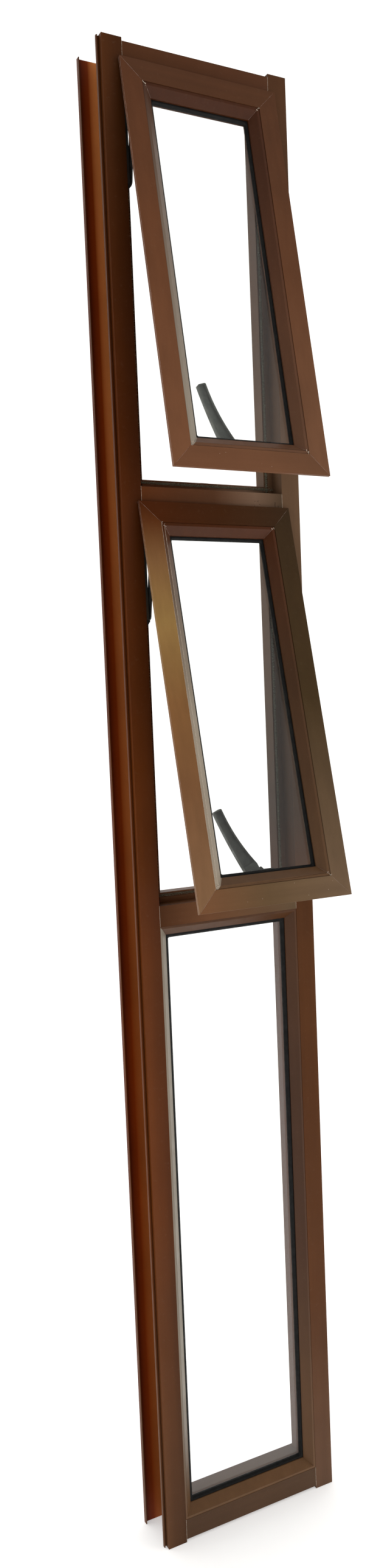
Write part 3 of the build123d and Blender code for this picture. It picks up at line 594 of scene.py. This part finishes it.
def sashAxes(level):
    facing = Vector(joints[level + "_lever_pivot"]["axis"]).normalized()
    up = Vector((0, facing.z, -facing.y))
    hinge = Vector(joints[level + "_sash_hinge"]["pos_m"])
    low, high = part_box(level + "_sash_top_rail")
    corner = hinge + facing * sashDetail["behind"] - up * sashDetail["above"]
    corner.x = low[0]
    return corner, Vector((1, 0, 0)), up, facing, high[0] - low[0]


def sashCorners(level):
    corner, right, up, facing, width = sashAxes(level)
    tall = sashDetail["height"]
    spots = {}
    for sideName, u, wayU in (("left", 0, 1), ("right", width, -1)):
        for endName, down, wayDown in (("top", 0, 1), ("bottom", tall, -1)):
            def at(inset, depth, u=u, wayU=wayU, down=down, wayDown=wayDown):
                return corner + right * (u + wayU * inset) - up * (down + wayDown * inset) - facing * depth
            spots[sideName, endName] = at
    return spots, up, facing


def mitreLines(level, seed):
    spots, up, facing = sashCorners(level)
    cut, beadCut = sashDetail["mitre"], sashDetail["beadMitre"]
    work = bmesh.new()
    for number, at in enumerate(spots.values()):
        wanderingBead(work, at(cut["start"], 0), at(cut["end"], 0), facing, cut["width"], sashDetail["proud"],
                      cut["steps"], seed + number * 3.1, cut["fade"])
        wanderingBead(work, at(*beadCut["start"]), at(*beadCut["end"]), facing, beadCut["width"],
                      beadCut["proud"], beadCut["steps"], seed + number * 5.7)
    mesh = meshFrom(level + "MitreLines", work)
    newPiece(level + "_mitre_lines", mesh, level + "_sash", cutLineAndEdgeHighlight)


def cornerBurrs(level, seed):
    spots, up, facing = sashCorners(level)
    burrs = sashDetail["burrs"]
    work = bmesh.new()
    random.seed(40 + seed)
    for at in spots.values():
        for _ in range(burrs["count"]):
            centre = at(random.uniform(*burrs["insets"]) * mm, burrs["depth"])
            reach = Vector((random.uniform(-1, 1), random.uniform(-0.4, 0.1), random.uniform(-1, 1))).normalized()
            end = centre + reach * random.uniform(*burrs["lengths"]) * mm
            width = random.uniform(*burrs["widths"]) * mm
            height = random.uniform(*burrs["heights"]) * mm
            wanderingBead(work, centre, end, facing, width, height, burrs["steps"], random.uniform(0, 50),
                          burrs["fade"])
    mesh = meshFrom(level + "CornerBurrs", work)
    newPiece(level + "_corner_burrs", mesh, level + "_sash", bareMetal)


# painted highlights: a light double line down each sash's side edges, standing in for the bright surroundings
# reflected there
def edgeHighlightLines(level, seed):
    spots, up, facing = sashCorners(level)
    edge = sashDetail["edge"]
    work = bmesh.new()
    left = Vector((-1, 0, 0))
    for sideName, way in (("left", left), ("right", -left)):
        top, foot = spots[sideName, "top"], spots[sideName, "bottom"]
        for depth in edge["depths"]:
            wanderingBead(work, top(0.0, depth), foot(0.0, depth), way, edge["width"], sashDetail["proud"],
                          edge["steps"], seed + depth * 900)
    mesh = meshFrom(level + "EdgeHighlightLines", work)
    newPiece(level + "_edge_highlight_lines", mesh, level + "_sash", cutLineAndEdgeHighlight)


def beadRibs(level, sideName, seed):
    spots, up, facing = sashCorners(level)
    work = bmesh.new()
    top, foot = spots[sideName, "top"], spots[sideName, "bottom"]
    for number, (inset, depth) in enumerate(beadRib["insets"]):
        wanderingBead(work, top(inset, depth), foot(inset, depth), facing, beadRib["width"], beadRib["proud"],
                      beadRib["steps"], seed + number * 4.4)
    mesh = meshFrom(level + "BeadRibs", work)
    newPiece(f"{level}_{sideName}_bead_ribs", mesh, level + "_sash", bareMetal)


for number, level in enumerate(("upper", "lower")):
    mitreLines(level, number * 17.0)
    cornerBurrs(level, number * 17.0)
    edgeHighlightLines(level, number * 17.0)
beadRibs("lower", "left", 3.0)
# the side edge lines are painted highlights
print("cut lines, burrs and painted edge highlights on the sashes")


# ---------- brush pile in the stops

pile = {
    "row": 1.1 * mm,          # spacing along the strip
    "rows": (0.9 * mm, 2.2 * mm, 3.5 * mm),
    "thick": 0.75 * mm,
    "lean": 0.28,
    "push": (0.72, 1.0),      # share of the way to the front that a tuft reaches
    "slot": 9.8 * mm,         # from the stop's edge to the strip
}


def addTuft(work, root, tip, thick):
    along = (tip - root).normalized()
    side = along.orthogonal().normalized()
    other = along.cross(side)
    base = [work.verts.new(root + (side * math.cos(turn) + other * math.sin(turn)) * thick / 2)
            for turn in (0, 2.09, 4.19)]
    point = work.verts.new(tip)
    for first, second in zip(base, base[1:] + base[:1]):
        work.faces.new((first, second, point))
    work.faces.new(base[::-1])


def brushPile():
    low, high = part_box("vent_pile")
    back = high[1]
    reach = back - low[1]
    left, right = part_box("left_jamb")[1][0] - stopHeight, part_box("right_jamb")[0][0] + stopHeight
    work = bmesh.new()
    random.seed(7)
    for above, below in (("head_rail", "upper_transom"), ("upper_transom", "lower_transom")):
        foot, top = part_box(below)[1][2] - stopHeight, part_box(above)[0][2] + stopHeight
        runs = [
            (Vector((left, 0, foot)), Vector((right, 0, foot)), Vector((0, 0, 1))),
            (Vector((left, 0, top)), Vector((right, 0, top)), Vector((0, 0, -1))),
            (Vector((left, 0, foot)), Vector((left, 0, top)), Vector((1, 0, 0))),
            (Vector((right, 0, foot)), Vector((right, 0, top)), Vector((-1, 0, 0))),
        ]
        for start, end, inward in runs:
            along = (end - start).normalized()
            count = int((end - start).length / pile["row"])
            for step in range(count):
                for row in pile["rows"]:
                    spot = start.lerp(end, (step + random.uniform(0.1, 0.9)) / count)
                    root = spot + inward * (pile["slot"] + row) + Vector((0, back, 0))
                    push = reach * random.uniform(*pile["push"])
                    lean = along * random.uniform(-1, 1) + inward * random.uniform(-0.7, 0.9)
                    addTuft(work, root, root + Vector((0, -push, 0)) + lean * pile["lean"] * reach, pile["thick"])
    piece = newPiece("vent_pile_brush", meshFrom("ventPileBrush", work), "frame", pileCloth)
    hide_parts("vent_pile")


brushPile()
print("brush pile planted")


# ---------- small marks of use

hook = {                      # a dark scrape at the right end of the upper transom
    "inward": 11 * mm,
    "down": 4 * mm,
    "high": 12 * mm,
    "wide": 7 * mm,
    "width": 1.3 * mm,
    "scratches": 12,
    "scratchWidth": 0.6 * mm,
}
curl = {"inward": 1 * mm, "down": 28 * mm, "step": 4 * mm, "drop": 0.35 * mm, "width": 0.45 * mm}
specks = {"size": 1.3 * mm, "proud": 0.08 * mm, "inset": 6 * mm, "spread": 24}
markProud = 0.05 * mm


def markAlong(work, points, facing, width, seed):
    for number, (start, end) in enumerate(zip(points, points[1:])):
        wanderingBead(work, start, end, facing, width, markProud, 5, seed + number)


def transomMarks():
    low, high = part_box("upper_transom")
    centre = Vector((high[0] - hook["inward"], low[1], (low[2] + high[2]) / 2 - hook["down"]))
    work = bmesh.new()
    turns = [math.radians(angle) for angle in range(180, 361, 30)]
    bend = [centre + Vector((math.cos(turn) * hook["wide"] / 2, 0, math.sin(turn) * hook["wide"] / 2))
            for turn in turns]
    bend.insert(0, bend[0] + Vector((0.5 * mm, 0, hook["high"] / 2)))
    markAlong(work, bend, out, hook["width"], 2.0)
    random.seed(11)
    for _ in range(hook["scratches"]):
        spot = centre + Vector((random.uniform(-44, -22) * mm, 0, random.uniform(-4, 6) * mm))
        reach = Vector((random.uniform(-3, 3) * mm, 0, random.uniform(-2, 2) * mm))
        markAlong(work, [spot, spot + reach], out, hook["scratchWidth"], random.uniform(0, 40))
    newPiece("transom_scratches", meshFrom("transomScratches", work), "frame", darkScratch)


def headScratch():
    low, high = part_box("head_rail")
    work = bmesh.new()
    start = Vector((low[0] + curl["inward"], low[1], high[2] - curl["down"]))
    curve = [start + Vector((step * curl["step"], 0, -(step * 0.75) ** 2 * curl["drop"])) for step in range(7)]
    markAlong(work, curve, out, curl["width"], 6.0)
    newPiece("head_scratch", meshFrom("headScratch", work), "frame", bareMetal)


def rubbedSpecks(level, count, seed):
    spots, up, facing = sashCorners(level)
    start, end = spots["left", "bottom"](specks["inset"], 0), spots["right", "bottom"](specks["inset"], 0)
    work = bmesh.new()
    random.seed(seed)
    for _ in range(count):
        spot = start.lerp(end, random.uniform(0.15, 0.95)) + up * random.uniform(0, specks["spread"]) * mm
        size = random.uniform(0.4, 1.0) * specks["size"]
        wanderingBead(work, spot, spot + up * size, facing, size, specks["proud"], 3, random.uniform(0, 60), 0.5)
    mesh = meshFrom(level + "RailSpecks", work)
    newPiece(level + "_rail_specks", mesh, level + "_sash", bareMetal)


transomMarks()
headScratch()
rubbedSpecks("upper", 4, 21)
rubbedSpecks("lower", 7, 22)
print("marks of use added")
